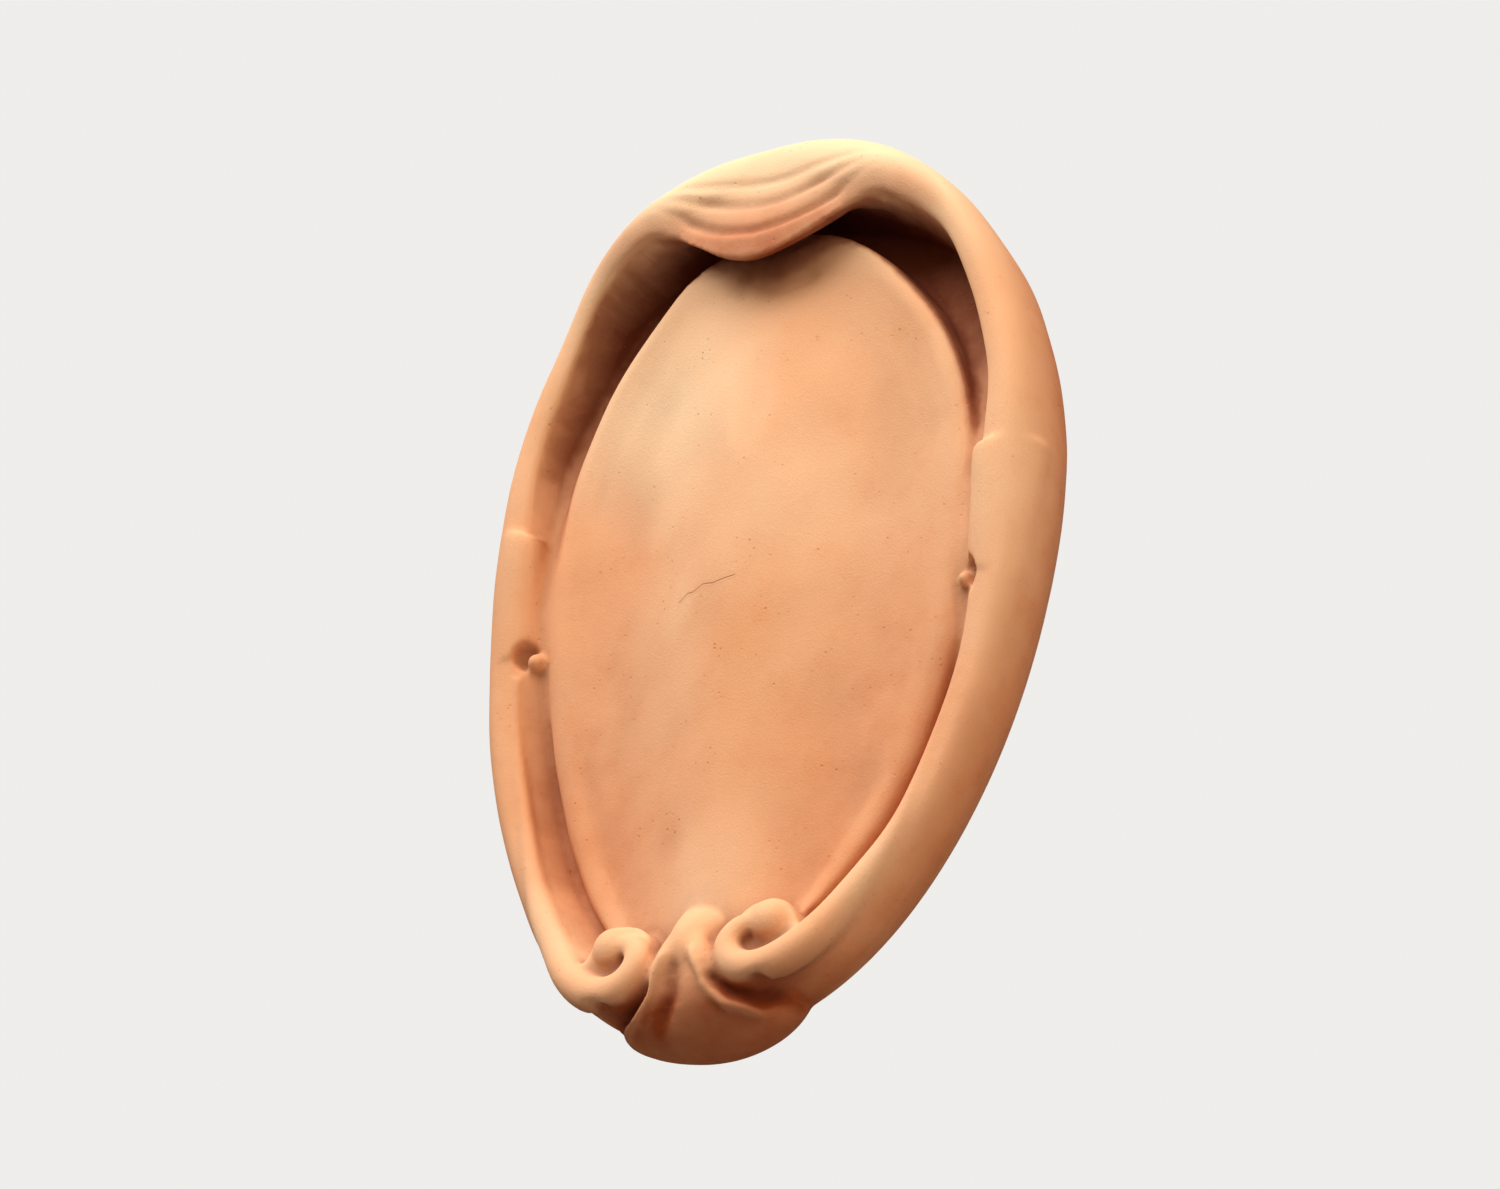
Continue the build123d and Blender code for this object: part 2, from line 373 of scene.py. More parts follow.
@dataclass(frozen=True)
class Wash:
    """A thin layer of one colour where all of its masks hold, broken up by the mottling."""

    tone: tuple
    masks: tuple[Mask, ...]
    strength: float
    mottled: float = 0.0

    def lay(
        self, draft: NodeDraft, colour: object, readings: Readings
    ) -> bpy.types.NodeSocket:
        """Lay the wash over a colour.

        Args:
            draft: The material being made.
            colour: The colour so far.
            readings: What the material knows of each point.

        Returns:
            The new colour's socket.
        """
        share = self.strength
        if self.mottled:
            share = share + self.mottled * readings[Measure.MOTTLE]
        for mask in self.masks:
            share = share * mask.over(readings)
        return draft.mix(share, colour, self.tone)


@dataclass(frozen=True)
class HairlineCrack:
    """A fine firing crack across the field, as a line of points in x and z."""

    points: tuple = (
        (-0.066, -0.0085),
        (-0.055, -0.003),
        (-0.048, -0.0042),
        (-0.034, -0.0005),
        (-0.021, -0.0027),
        (0.004, 0.0005),
    )
    width: float = 0.0009
    halo: float = 0.0045
    tone: tuple = linear(150, 86, 56)
    strength: float = 0.32
    halo_strength: float = 0.14
    bump: float = 1.5
    waver: float = 0.0016
    ripple: Noise = Noise(95.0, 2.0)

    def distance(self, draft: NodeDraft, place: object) -> Wire:
        """Distance from the crack's line, with a slight waver.

        Args:
            draft: The material being made.
            place: Object coordinates.

        Returns:
            The distance in metres.
        """
        parts = draft.node("ShaderNodeSeparateXYZ", Vector=place)
        ripple = self.waver * (self.ripple.over(draft, place) - 0.5)
        across, up = draft.wire(parts, "X"), draft.wire(parts, "Z") + ripple
        nearest = None
        for (x0, z0), (x1, z1) in zip(self.points, self.points[1:]):
            run, rise = x1 - x0, z1 - z0
            length = run * run + rise * rise
            share = ((across - x0) * (run / length) + (up - z0) * (rise / length)).clamped()
            off_x, off_z = across - x0 - share * run, up - z0 - share * rise
            reach = (off_x * off_x + off_z * off_z) ** 0.5
            nearest = reach if nearest is None else nearest.least(reach)
        return nearest

    @staticmethod
    def within(gap: Wire, width: float) -> Wire:
        """One on the crack's line, falling to zero at a width from it."""
        return (1.0 - gap * (1 / width)).clamped()


@dataclass(frozen=True)
class TerracottaFinish:
    """Unglazed fired clay: peach body, paler washed crests, soot and painted shade in the hollows,
    and painted light and shade on the field, lip, foot and flanks.
    """

    name: str = "terracotta"
    body: tuple = linear(238, 168, 120)
    pale: tuple = linear(252, 222, 182)
    deep: tuple = linear(224, 142, 88)
    # Orange of the painted wall bounce and shade on the deep parts.
    bounce_and_shade_orange: tuple = linear(196, 98, 40)
    # Tone of the painted shade on undersides and in sheltered coves.
    shade: tuple = linear(150, 66, 24)
    # Tone of the painted shade on the crest lobe's rolled-under lip.
    lip_shade_tone: tuple = linear(180, 98, 58)
    # Soot, laid also as painted shade in creases and sheltered hollows.
    soot_and_shade: tuple = linear(108, 44, 23)

    cloud: Noise = Noise(4.5, 3.0)
    mottle: Noise = Noise(30.0, 5.0, 0.6)
    grain: Noise = Noise(460.0, 3.0, 0.7)

    cloudy_ground: Wash = Wash(
        pale, masks=(MaskSum(0.3, ((0.7, Slope(Measure.CLOUD, 0.4, 2.6)),)),), strength=0.5
    )
    blotches: Wash = Wash(deep, masks=(Slope(Measure.MOTTLE, 0.5, 3.0),), strength=0.22)
    specks: Wash = Wash(pale, masks=(Slope(Measure.GRAIN, 0.6, 5.0),), strength=0.2)
    # Painted highlight: the field's upper left made paler, where its dome faces the key light.
    painted_field_highlight: Wash = Wash(
        pale,
        masks=(
            Patch(-0.11, 0.195, radius=0.15),
            Slope(Measure.RELIEF, 0.16, -60.0),
            Slope(Measure.RELIEF, 0.086, 60.0),
        ),
        strength=0.5,
        mottled=0.3,
    )
    # A warm stain on the field's lower middle, deepened as painted shade where the dome turns away
    # from the light.
    warm_stain_and_shade: Wash = Wash(
        deep,
        masks=(Patch(0.05, -0.09, radius=0.16), Slope(Measure.RELIEF, 0.1, 60.0)),
        strength=0.45,
        mottled=0.4,
    )
    worn_ridges: Wash = Wash(
        pale,
        masks=(Slope(Measure.HOLLOW, 0.5, -2.0), Slope(Measure.RELIEF, 0.1, 14.0)),
        strength=0.2,
        mottled=0.3,
    )
    rain_washed_top: Wash = Wash(
        pale,
        masks=(Slope(Measure.HEIGHT, 0.25, 7.0), Slope(Measure.RELIEF, 0.07, 14.0)),
        strength=0.45,
        mottled=0.4,
    )
    # Painted shade on the crest lobe's lower face, where its lip rolls under and faces down.
    painted_lip_shade: Wash = Wash(
        lip_shade_tone,
        masks=(Slope(Measure.HEIGHT, 0.395, -18.0), Slope(Measure.RELIEF, 0.148, 60.0)),
        strength=0.5,
        mottled=0.5,
    )
    # Painted light: the low field made paler where its margin curves up towards the light.
    painted_low_field_light: Wash = Wash(
        pale,
        masks=(
            Slope(Measure.HEIGHT, -0.17, -7.0),
            Slope(Measure.HEIGHT, -0.385, 20.0),
            Slope(Measure.RELIEF, 0.062, 40.0),
            Slope(Measure.RELIEF, 0.105, -60.0),
        ),
        strength=0.35,
        mottled=0.35,
    )
    # Painted warm bounce light from the wall on the flanks, and painted shade on the foot, stronger
    # nearer the wall.
    painted_bounce_and_shade_near_wall: Wash = Wash(
        bounce_and_shade_orange, masks=(Slope(Measure.RELIEF, 0.112, -14.0),), strength=0.4, mottled=0.4
    )
    # Painted shade on the foot's downward underside, deeper in its hollows.
    painted_underside_shade: Wash = Wash(
        shade,
        masks=(
            Slope(Measure.HEIGHT, -0.372, -24.0),
            Slope(Measure.RELIEF, 0.118, -40.0),
            MaskSum(0.6, ((0.4, Slope(Measure.HOLLOW, 0.1, 2.5)),)),
        ),
        strength=0.85,
        mottled=0.3,
    )
    hooded: MaskSum = MaskSum(
        0.2,
        (
            (0.8, Slope(Measure.HEIGHT, 0.02, 12.0)),
            (0.5, Slope(Measure.HEIGHT, -0.34, -20.0)),
        ),
    )
    shaded_cove: Wash = Wash(
        shade, masks=(Slope(Measure.SHELTER, 0.2, 4.0), hooded), strength=0.5, mottled=0.3
    )

    # Soot and painted shade: darker in creases and where the block hides the sky.
    creases: Slope = Slope(Measure.HOLLOW, 0.57, 1.8)
    creased_foot: MaskSum = MaskSum(0.6, ((0.5, Slope(Measure.HEIGHT, -0.31, -25.0)),))
    sheltered: Slope = Slope(Measure.SHELTER, 0.34, 3.0)
    soot_and_shade_strength: float = 0.51
    soot_and_shade_mottled: float = 0.6
    soot_and_shade_most: float = 0.85

    pore_tone: tuple = linear(176, 106, 70)
    pore_scale: float = 120.0
    pore_radius: float = 0.2
    pore_edge: float = 9.0
    pore_clusters: Slope = Slope(Measure.MOTTLE, 0.52, 6.0)
    pore_strength: float = 0.5
    pore_bump: float = 1.2
    crack: HairlineCrack = HairlineCrack()

    roughness: float = 0.86
    roughness_swing: float = 0.08
    specular: float = 0.25
    grain_depth: float = 0.0009
    grain_strength: float = 0.5
    mottle_depth: float = 0.0012
    mottle_strength: float = 0.3

    def build(self) -> bpy.types.Material:
        """Make the material.

        Returns:
            The finished material.
        """
        material = bpy.data.materials.new(self.name)
        draft = NodeDraft(material)
        place = draft.node("ShaderNodeTexCoord").outputs["Object"]
        readings = self._read(draft, place)
        pore = self._pores(draft, place, readings)
        gap = self.crack.distance(draft, place)
        crack = self.crack.within(gap, self.crack.width)
        halo = self.crack.within(gap, self.crack.halo)

        colour = self.body
        for wash in self._washes():
            colour = wash.lay(draft, colour, readings)
        colour = self._blacken(draft, colour, readings)
        colour = draft.mix(pore * self.pore_strength, colour, self.pore_tone)
        line = crack * self.crack.strength + halo * self.crack.halo_strength
        colour = draft.mix(line, colour, self.crack.tone)

        grain = readings[Measure.GRAIN]
        fine = draft.node(
            "ShaderNodeBump",
            Strength=self.grain_strength,
            Distance=self.grain_depth,
            Height=grain - self.pore_bump * pore - self.crack.bump * crack,
        )
        broad = draft.node(
            "ShaderNodeBump",
            Strength=self.mottle_strength,
            Distance=self.mottle_depth,
            Height=readings[Measure.MOTTLE],
            Normal=fine.outputs["Normal"],
        )
        shader = draft.node(
            "ShaderNodeBsdfPrincipled",
            Base_Color=colour,
            Roughness=self.roughness + self.roughness_swing * (grain - 0.5),
            Specular_IOR_Level=self.specular,
            Normal=broad.outputs["Normal"],
        )
        draft.node("ShaderNodeOutputMaterial", Surface=shader.outputs["BSDF"])
        return material

    def _washes(self) -> tuple[Wash, ...]:
        """List the washes of colour.

        Returns:
            The washes in the order in which they lie.
        """
        return (
            self.cloudy_ground,
            self.blotches,
            self.specks,
            self.painted_field_highlight,
            self.warm_stain_and_shade,
            self.worn_ridges,
            self.rain_washed_top,
            self.painted_lip_shade,
            self.painted_low_field_light,
            self.painted_bounce_and_shade_near_wall,
            self.painted_underside_shade,
            self.shaded_cove,
        )

    def _read(self, draft: NodeDraft, place: object) -> Readings:
        """Collect what the masks follow.

        Args:
            draft: The material being made.
            place: Object coordinates.

        Returns:
            A wire for each measure.
        """
        parts = draft.node("ShaderNodeSeparateXYZ", Vector=place)
        return {
            Measure.ACROSS: draft.wire(parts, "X"),
            Measure.RELIEF: -1.0 * draft.wire(parts, "Y"),
            Measure.HEIGHT: draft.wire(parts, "Z"),
            Measure.HOLLOW: draft.attribute(Measure.HOLLOW.value),
            Measure.SHELTER: draft.attribute(Measure.SHELTER.value),
            Measure.CLOUD: self.cloud.over(draft, place),
            Measure.MOTTLE: self.mottle.over(draft, place),
            Measure.GRAIN: self.grain.over(draft, place),
        }

    def _pores(self, draft: NodeDraft, place: object, readings: Readings) -> Wire:
        """Prick small pores into the clay, in clusters.

        Args:
            draft: The material being made.
            place: Object coordinates.
            readings: What the material knows of each point.

        Returns:
            The pores' strength.
        """
        cells = draft.node("ShaderNodeTexVoronoi", Vector=place, Scale=self.pore_scale)
        pore = ((self.pore_radius - draft.wire(cells, "Distance")) * self.pore_edge).clamped()
        return pore * self.pore_clusters.over(readings)

    def _blacken(
        self, draft: NodeDraft, colour: object, readings: Readings
    ) -> bpy.types.NodeSocket:
        """Lay soot with painted shade in the creases and under the hood.

        Args:
            draft: The material being made.
            colour: The colour so far.
            readings: What the material knows of each point.

        Returns:
            The new colour's socket.
        """
        grime_and_shade = self.creases.over(readings) * self.creased_foot.over(readings)
        grime_and_shade = grime_and_shade + self.sheltered.over(readings) * self.hooded.over(readings)
        broken = self.soot_and_shade_strength + self.soot_and_shade_mottled * readings[Measure.MOTTLE]
        return draft.mix((grime_and_shade * broken).clamped() * self.soot_and_shade_most, colour, self.soot_and_shade)


@dataclass(frozen=True)
class CarvedLine:
    """A line cut into the clay along points in x and z, or raised where the depth is negative."""

    points: tuple
    depth: float
    half_width: float
    fade: float

    def cut(self, places: np.ndarray) -> np.ndarray:
        """Work out how deep the line cuts.

        Args:
            places: One row for each point of the skin.

        Returns:
            The depth at each point in metres.
        """
        flat = places[:, [0, 2]]
        nearest = np.full(len(flat), np.inf)
        for start, end in zip(self.points, self.points[1:]):
            run = np.subtract(end, start)
            share = np.clip((flat - start) @ run / (run @ run), 0.0, 1.0)
            reach = np.linalg.norm(flat - start - share[:, None] * run, axis=1)
            nearest = np.minimum(nearest, reach)
        ends = [np.linalg.norm(flat - end, axis=1) for end in (self.points[0], self.points[-1])]
        taper = ramp(np.minimum(*ends), 0.0, self.fade)
        return self.depth * np.exp(-((nearest / self.half_width) ** 2)) * taper

    def mirrored(self) -> CarvedLine:
        """The same line on the block's other side."""
        return replace(self, points=tuple((-x, z) for x, z in self.points))


@dataclass(frozen=True)
class Carving:
    """Lines worked into the soft clay: the crest's reeds and the folds of the foot.

    Each reed is a low point, a rise towards its ends and a depth.
    """

    reeds: tuple = ((0.333, 0.05, 0.004), (0.365, 0.028, 0.003), (0.389, 0.011, 0.0018))
    reed_half_length: float = 0.125
    reed_bend: float = 1.6
    reed_half_width: float = 0.005
    reed_fade: float = 0.05
    reed_points: int = 13
    fold: CarvedLine = CarvedLine(
        points=((0.03, -0.396), (0.042, -0.411), (0.058, -0.42), (0.078, -0.421), (0.1, -0.413)),
        depth=0.0105,
        half_width=0.005,
        fade=0.012,
    )
    rib: CarvedLine = CarvedLine(
        points=((0.012, -0.37), (0.02, -0.386), (0.032, -0.41), (0.048, -0.4255), (0.08, -0.43)),
        depth=-0.006,
        half_width=0.0045,
        fade=0.012,
    )
    cleft: CarvedLine = CarvedLine(
        points=((-0.004, -0.375), (-0.006, -0.412), (-0.0186, -0.4296), (-0.04, -0.449)),
        depth=0.0085,
        half_width=0.0045,
        fade=0.03,
    )

    def lines(self) -> list[CarvedLine]:
        """List every line.

        Returns:
            The reeds, then the folds with their mirrored twins, then the cleft in the foot.
        """
        made = []
        for low, rise, depth in self.reeds:
            points = tuple(
                (self.reed_half_length * share, low + rise * abs(share) ** self.reed_bend)
                for share in np.linspace(-1.0, 1.0, self.reed_points)
            )
            made.append(CarvedLine(points, depth, self.reed_half_width, self.reed_fade))
        folds = [self.fold, self.rib]
        made += folds + [line.mirrored() for line in folds]
        made.append(self.cleft)
        return made


@dataclass(frozen=True)
class Zone:
    """A part of the block, the same on both sides of its middle line, with soft borders.

    Each border runs from the value where the zone ends to the value where it is full.
    """

    across: tuple[float, float] | None = None
    relief: tuple[float, float] | None = None
    height: tuple[float, float] | None = None

    def weight(self, points: np.ndarray) -> np.ndarray:
        """Work out how far each point lies inside.

        Args:
            points: One row for each point.

        Returns:
            Weights from zero outside to one inside.
        """
        weight = np.ones(len(points))
        borders = (self.across, self.relief, self.height)
        for measure, border in zip(measures(points), borders):
            if border is not None:
                weight *= ramp(measure, *border)
        return weight


@dataclass(frozen=True)
class CrestLip:
    """The lower lip of the crest's lobe, which droops in the middle and rolls under."""

    half_width: float = 0.13
    low_z: float = 0.304
    end_z: float = 0.352
    roll_height: float = 0.045
    roll_depth: float = 0.013
    roll_zone: Zone = Zone(relief=(0.135, 0.15))

    def follow(self, across: np.ndarray) -> tuple[np.ndarray, np.ndarray]:
        """How far the lip droops, from zero to one, and its height."""
        droop = 0.5 + 0.5 * np.cos(np.pi * np.clip(across / self.half_width, 0, 1))
        return droop, self.end_z + (self.low_z - self.end_z) * droop

    def above(self, points: np.ndarray, border: tuple[float, float]) -> np.ndarray:
        """Weight the points above the lip.

        Args:
            points: One row for each point.
            border: Heights over the lip where the weight is zero and where it is one.

        Returns:
            Weights from zero to one.
        """
        across, _, up = measures(points)
        _, lip = self.follow(across)
        return ramp(up - lip, *border)

    def rolled(self, points: np.ndarray) -> np.ndarray:
        """Work out how far the lip's face goes back where it rolls under.

        Args:
            points: One row for each point.

        Returns:
            The distance for each point in metres.
        """
        across, _, up = measures(points)
        droop, lip = self.follow(across)
        under = ramp(lip + self.roll_height - up, 0.0, self.roll_height) ** 2
        return self.roll_depth * under * droop * self.roll_zone.weight(points)


@dataclass
class ClaySkin:
    """The block's pressed-clay surface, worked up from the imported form.

    Borders are pairs: where a change begins and where it is full. Passes are rounds
    of smoothing, and facings are how much of a point's normal looks away from the wall.
    """

    node: str = "cartouche"
    name: str = "clay_block"
    merge_gap: float = 1e-5
    voxel: float = 0.0023
    triangle_limit: int = 190000
    least_spokes: int = 3

    soften_passes: int = 18
    soften_factor: float = 0.5
    crisp_reeds: float = 0.2
    crisp_volutes: float = 0.5
    reed_zone: Zone = Zone(across=(0.15, 0.12), relief=(0.125, 0.145), height=(0.27, 0.3))
    volute_zone: Zone = Zone(across=(0.16, 0.13), relief=(0.05, 0.07), height=(-0.28, -0.31))
    eye_middle: tuple = (0.245, 0.1, -0.025)
    eye_border: tuple = (0.05, 0.03)

    waist_z: float = 0.045
    field_half_width: float = 0.239
    field_rise: float = 0.303
    field_drop: float = 0.424
    field_passes: int = 140
    field_border: tuple = (0.93, 0.8)
    field_facing: tuple = (0.5, 0.8)
    field_floor: Zone = Zone(relief=(0.04, 0.06))
    field_top: Zone = Zone(relief=(0.165, 0.15))

    lip: CrestLip = CrestLip()
    crest_fills: int = 3
    crest_passes: int = 60
    crest_sponge: int = 6
    crest_border: tuple = (0.004, 0.012)
    crest_zone: Zone = Zone(across=(0.135, 0.11), relief=(0.135, 0.145))

    carving: Carving = Carving()
    carving_blend: int = 14
    front_border: tuple = (0.003, 0.01)
    front_facing: tuple = (0.1, 0.4)
    front_zone: Zone = Zone(relief=(0.13, 0.14))
    foot_zone: Zone = Zone(relief=(0.03, 0.05), height=(-0.33, -0.345))
    foot_passes: int = 3
    corner_x: float = 0.112
    corner_z: float = 0.35
    corner_passes: int = 40
    corner_border_x: tuple = (0.03, 0.015)
    corner_border_z: tuple = (0.026, 0.012)

    uneven_height: float = 0.0013
    uneven_scale: float = 7.0
    back_guard: float = 0.004
    uneven_zone: Zone = Zone(relief=(back_guard, back_guard + 0.02))

    hollow_passes: int = 70
    hollow_depth: float = 0.0036
    shelter_rays: int = 28
    shelter_reach: float = 0.22
    shelter_start: float = 0.0015
    shelter_lean: float = 1.02
    shelter_passes: int = 6
    shelter_seed: int = 11
    finish: TerracottaFinish = TerracottaFinish()

    def build(self) -> bpy.types.Object:
        """Make the skin, dress it and put it in the block's place.

        Returns:
            The finished piece.
        """
        piece = self._copy_node()
        self._apply(piece, "REMESH", mode="VOXEL", voxel_size=self.voxel, use_smooth_shade=True)
        self._soften(piece)
        self._thin(piece)
        self._drop_slivers(piece)
        self._even_out(piece)
        self._fill_crest(piece)
        self._carve(piece)
        self._shape(piece)
        self._store_wear_and_shade_measures(piece)
        piece.data.materials.clear()
        piece.data.materials.append(self.finish.build())
        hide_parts(self.node)
        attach(piece, "root")
        return piece

    def _copy_node(self) -> bpy.types.Object:
        """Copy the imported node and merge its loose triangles.

        Returns:
            The copy.
        """
        source = bpy.data.objects[self.node]
        piece = source.copy()
        piece.data = source.data.copy()
        piece.name = self.name
        piece.data.name = self.name
        for key in list(piece.keys()):
            if key.startswith("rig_"):
                del piece[key]
        bpy.context.collection.objects.link(piece)
        make_active(piece)
        bpy.ops.object.mode_set(mode="EDIT")
        bpy.ops.mesh.select_all(action="SELECT")
        bpy.ops.mesh.remove_doubles(threshold=self.merge_gap)
        bpy.ops.mesh.normals_make_consistent(inside=False)
        bpy.ops.object.mode_set(mode="OBJECT")
        return piece

    def _apply(self, piece: bpy.types.Object, kind: str, **settings: object) -> None:
        """Add one modifier and apply it.

        Args:
            piece: The mesh object.
            kind: The modifier's type.
            **settings: The modifier's properties.
        """
        modifier = piece.modifiers.new(kind.lower(), kind)
        for key, value in settings.items():
            setattr(modifier, key, value)
        make_active(piece)
        bpy.ops.object.modifier_apply(modifier=modifier.name)

    def _soften(self, piece: bpy.types.Object) -> None:
        """Round the arrises as a press mould and a wet sponge leave them, the carving least.

        Args:
            piece: The skin.
        """
        points, _ = read_points(piece)
        reeds = self.reed_zone.weight(points)
        from_eye = np.linalg.norm(np.stack(measures(points), axis=1) - self.eye_middle, axis=1)
        scrolls = np.maximum(self.volute_zone.weight(points), ramp(from_eye, *self.eye_border))
        softness = np.minimum(
            1.0 - (1.0 - self.crisp_reeds) * reeds, 1.0 - (1.0 - self.crisp_volutes) * scrolls
        )
        add_weights(piece, "softness", softness)
        self._apply(
            piece,
            "SMOOTH",
            factor=self.soften_factor,
            iterations=self.soften_passes,
            vertex_group="softness",
        )
        piece.vertex_groups.clear()

    def _thin(self, piece: bpy.types.Object) -> None:
        """Spend fewer triangles on the flat parts.

        Args:
            piece: The skin.
        """
        count = sum(len(face.vertices) - 2 for face in piece.data.polygons)
        if count > self.triangle_limit:
            self._apply(piece, "DECIMATE", ratio=self.triangle_limit / count)

    def _drop_slivers(self, piece: bpy.types.Object) -> None:
        """Delete points with too few edges, which the thinning leaves on loose slivers.

        Args:
            piece: The skin.
        """
        spokes = np.bincount(read_edges(piece).ravel(), minlength=len(piece.data.vertices))
        make_active(piece)
        bpy.ops.object.mode_set(mode="EDIT")
        bpy.ops.mesh.select_mode(type="VERT")
        bpy.ops.mesh.select_all(action="DESELECT")
        bpy.ops.object.mode_set(mode="OBJECT")
        piece.data.vertices.foreach_set("select", spokes < self.least_spokes)
        bpy.ops.object.mode_set(mode="EDIT")
        bpy.ops.mesh.delete(type="VERT")
        bpy.ops.object.mode_set(mode="OBJECT")

    def _even_out(self, piece: bpy.types.Object) -> None:
        """Sponge the field to one calm curve.

        Args:
            piece: The skin.
        """
        points, normals = read_points(piece)
        across, _, up = measures(points)
        up = up - self.waist_z
        reach = np.where(up > 0, self.field_rise, self.field_drop)
        rim = np.hypot(across / self.field_half_width, up / reach)
        sponged = ramp(rim, *self.field_border) * ramp(-normals[:, 1], *self.field_facing)
        sponged *= self.field_floor.weight(points) * self.field_top.weight(points)
        write_points(piece, calmed(points, read_edges(piece), self.field_passes, sponged))

    def _fill_crest(self, piece: bpy.types.Object) -> None:
        """Fill the crease between the crest's roll and its lobe, so that they flow as one.

        Args:
            piece: The skin.
        """
        edges = read_edges(piece)
        for _ in range(self.crest_fills):
            points, normals = read_points(piece)
            crest = self.lip.above(points, self.crest_border) * self.crest_zone.weight(points)
            lift = along(relaxed(points, edges, self.crest_passes) - points, normals)
            points += normals * (np.maximum(lift, 0.0) * crest)[:, None]
            write_points(piece, calmed(points, edges, self.crest_sponge, crest))

    def _carve(self, piece: bpy.types.Object) -> None:
        """Work the carved lines into the crest and the foot, and soften the crest's corners.

        Args:
            piece: The skin.
        """
        points, normals = read_points(piece)
        edges = read_edges(piece)
        face = self.front_zone.weight(points)
        foot = self.foot_zone.weight(points)
        front = face * ramp(-normals[:, 1], *self.front_facing)
        front *= self.lip.above(points, self.front_border)
        cut = sum(line.cut(points) for line in self.carving.lines())
        outward = relaxed(normals, edges, self.carving_blend)
        points -= outward * (cut * np.maximum(front, foot))[:, None]
        across, _, up = measures(points)
        corner = face * ramp(np.abs(across - self.corner_x), *self.corner_border_x)
        corner *= ramp(np.abs(up - self.corner_z), *self.corner_border_z)
        points = calmed(points, edges, self.corner_passes, corner)
        write_points(piece, calmed(points, edges, self.foot_passes, foot))

    def _shape(self, piece: bpy.types.Object) -> None:
        """Give the face the unevenness of hand-pressed clay, and roll the crest's lip under.

        Args:
            piece: The skin.
        """
        points, normals = read_points(piece)
        swell = 0.5 + 0.5 * smooth_noise(points * self.uneven_scale)
        guard = self.uneven_zone.weight(points)
        points -= normals * (self.uneven_height * swell * guard)[:, None]
        points[:, 1] += self.lip.rolled(points)
        write_points(piece, points)

    def _store_wear_and_shade_measures(self, piece: bpy.types.Object) -> None:
        """Store how hollow each point lies and how much open sky it sees, for worn ridges, soot and
        painted shade.

        Args:
            piece: The skin.
        """
        points, normals = read_points(piece)
        edges = read_edges(piece)
        depth = along(relaxed(points, edges, self.hollow_passes) - points, normals)
        store_values(piece, Measure.HOLLOW.value, 0.5 + 0.5 * depth / self.hollow_depth)
        hidden = self._shelter(piece, points, normals)[:, None]
        shelter = relaxed(hidden, edges, self.shelter_passes)[:, 0]
        store_values(piece, Measure.SHELTER.value, shelter)

    def _shelter(
        self, piece: bpy.types.Object, points: np.ndarray, normals: np.ndarray
    ) -> np.ndarray:
        """Share of the sky in front of each point that the block itself hides.

        Args:
            piece: The skin.
            points: Its points.
            normals: Their normals.

        Returns:
            One share for each point.
        """
        tree = BVHTree.FromPolygons(
            points.tolist(), [tuple(face.vertices) for face in piece.data.polygons]
        )
        rng = np.random.default_rng(self.shelter_seed)
        hidden = np.zeros(len(points))
        starts = points + normals * self.shelter_start
        for row, (start, normal) in enumerate(zip(starts, normals)):
            if -points[row, 1] < self.back_guard:
                continue
            rays = rng.normal(size=(self.shelter_rays, 3))
            rays /= np.linalg.norm(rays, axis=1)[:, None]
            rays += self.shelter_lean * normal
            for ray in rays.tolist():
                if tree.ray_cast(start, ray, self.shelter_reach)[0] is not None:
                    hidden[row] += 1
        return hidden / self.shelter_rays


def measures(points: np.ndarray) -> tuple[np.ndarray, np.ndarray, np.ndarray]:
    """Each point's distance from the middle line, its relief and its height."""
    return np.abs(points[:, 0]), -points[:, 1], points[:, 2]


def ramp(values: np.ndarray, start: float, full: float) -> np.ndarray:
    """Go from zero at the start value to one at the full one, which may be the lower."""
    return np.clip((values - start) / (full - start), 0.0, 1.0)


def along(shifts: np.ndarray, normals: np.ndarray) -> np.ndarray:
    """How far each shift goes along its normal."""
    return np.einsum("ij,ij->i", shifts, normals)


def read_points(piece: bpy.types.Object) -> tuple[np.ndarray, np.ndarray]:
    """Read a mesh's points and their normals.

    Args:
        piece: The mesh object.

    Returns:
        Points and normals, one row each.
    """
    mesh = piece.data
    points = np.empty(len(mesh.vertices) * 3)
    mesh.vertices.foreach_get("co", points)
    normals = np.empty(len(mesh.vertices) * 3)
    mesh.vertex_normals.foreach_get("vector", normals)
    return points.reshape(-1, 3), normals.reshape(-1, 3)


def read_edges(piece: bpy.types.Object) -> np.ndarray:
    """Read a mesh's edges.

    Args:
        piece: The mesh object.

    Returns:
        Pairs of point numbers, one row each.
    """
    edges = np.empty(len(piece.data.edges) * 2, dtype=np.int64)
    piece.data.edges.foreach_get("vertices", edges)
    return edges.reshape(-1, 2)


def write_points(piece: bpy.types.Object, points: np.ndarray) -> None:
    """Put moved points back into a mesh."""
    piece.data.vertices.foreach_set("co", points.ravel())
    piece.data.update()


def add_weights(piece: bpy.types.Object, name: str, weights: np.ndarray, steps: int = 20) -> None:
    """Put a weight on each point, in a vertex group, rounded to a few steps.

    Args:
        piece: The mesh object.
        name: The group's name.
        weights: One weight for each point, from zero to one.
        steps: How many steps the weights are rounded to.
    """
    group = piece.vertex_groups.new(name=name)
    rounded = np.round(weights * steps).astype(int)
    for step in range(1, steps + 1):
        members = np.flatnonzero(rounded == step)
        if len(members):
            group.add(members.tolist(), step / steps, "REPLACE")


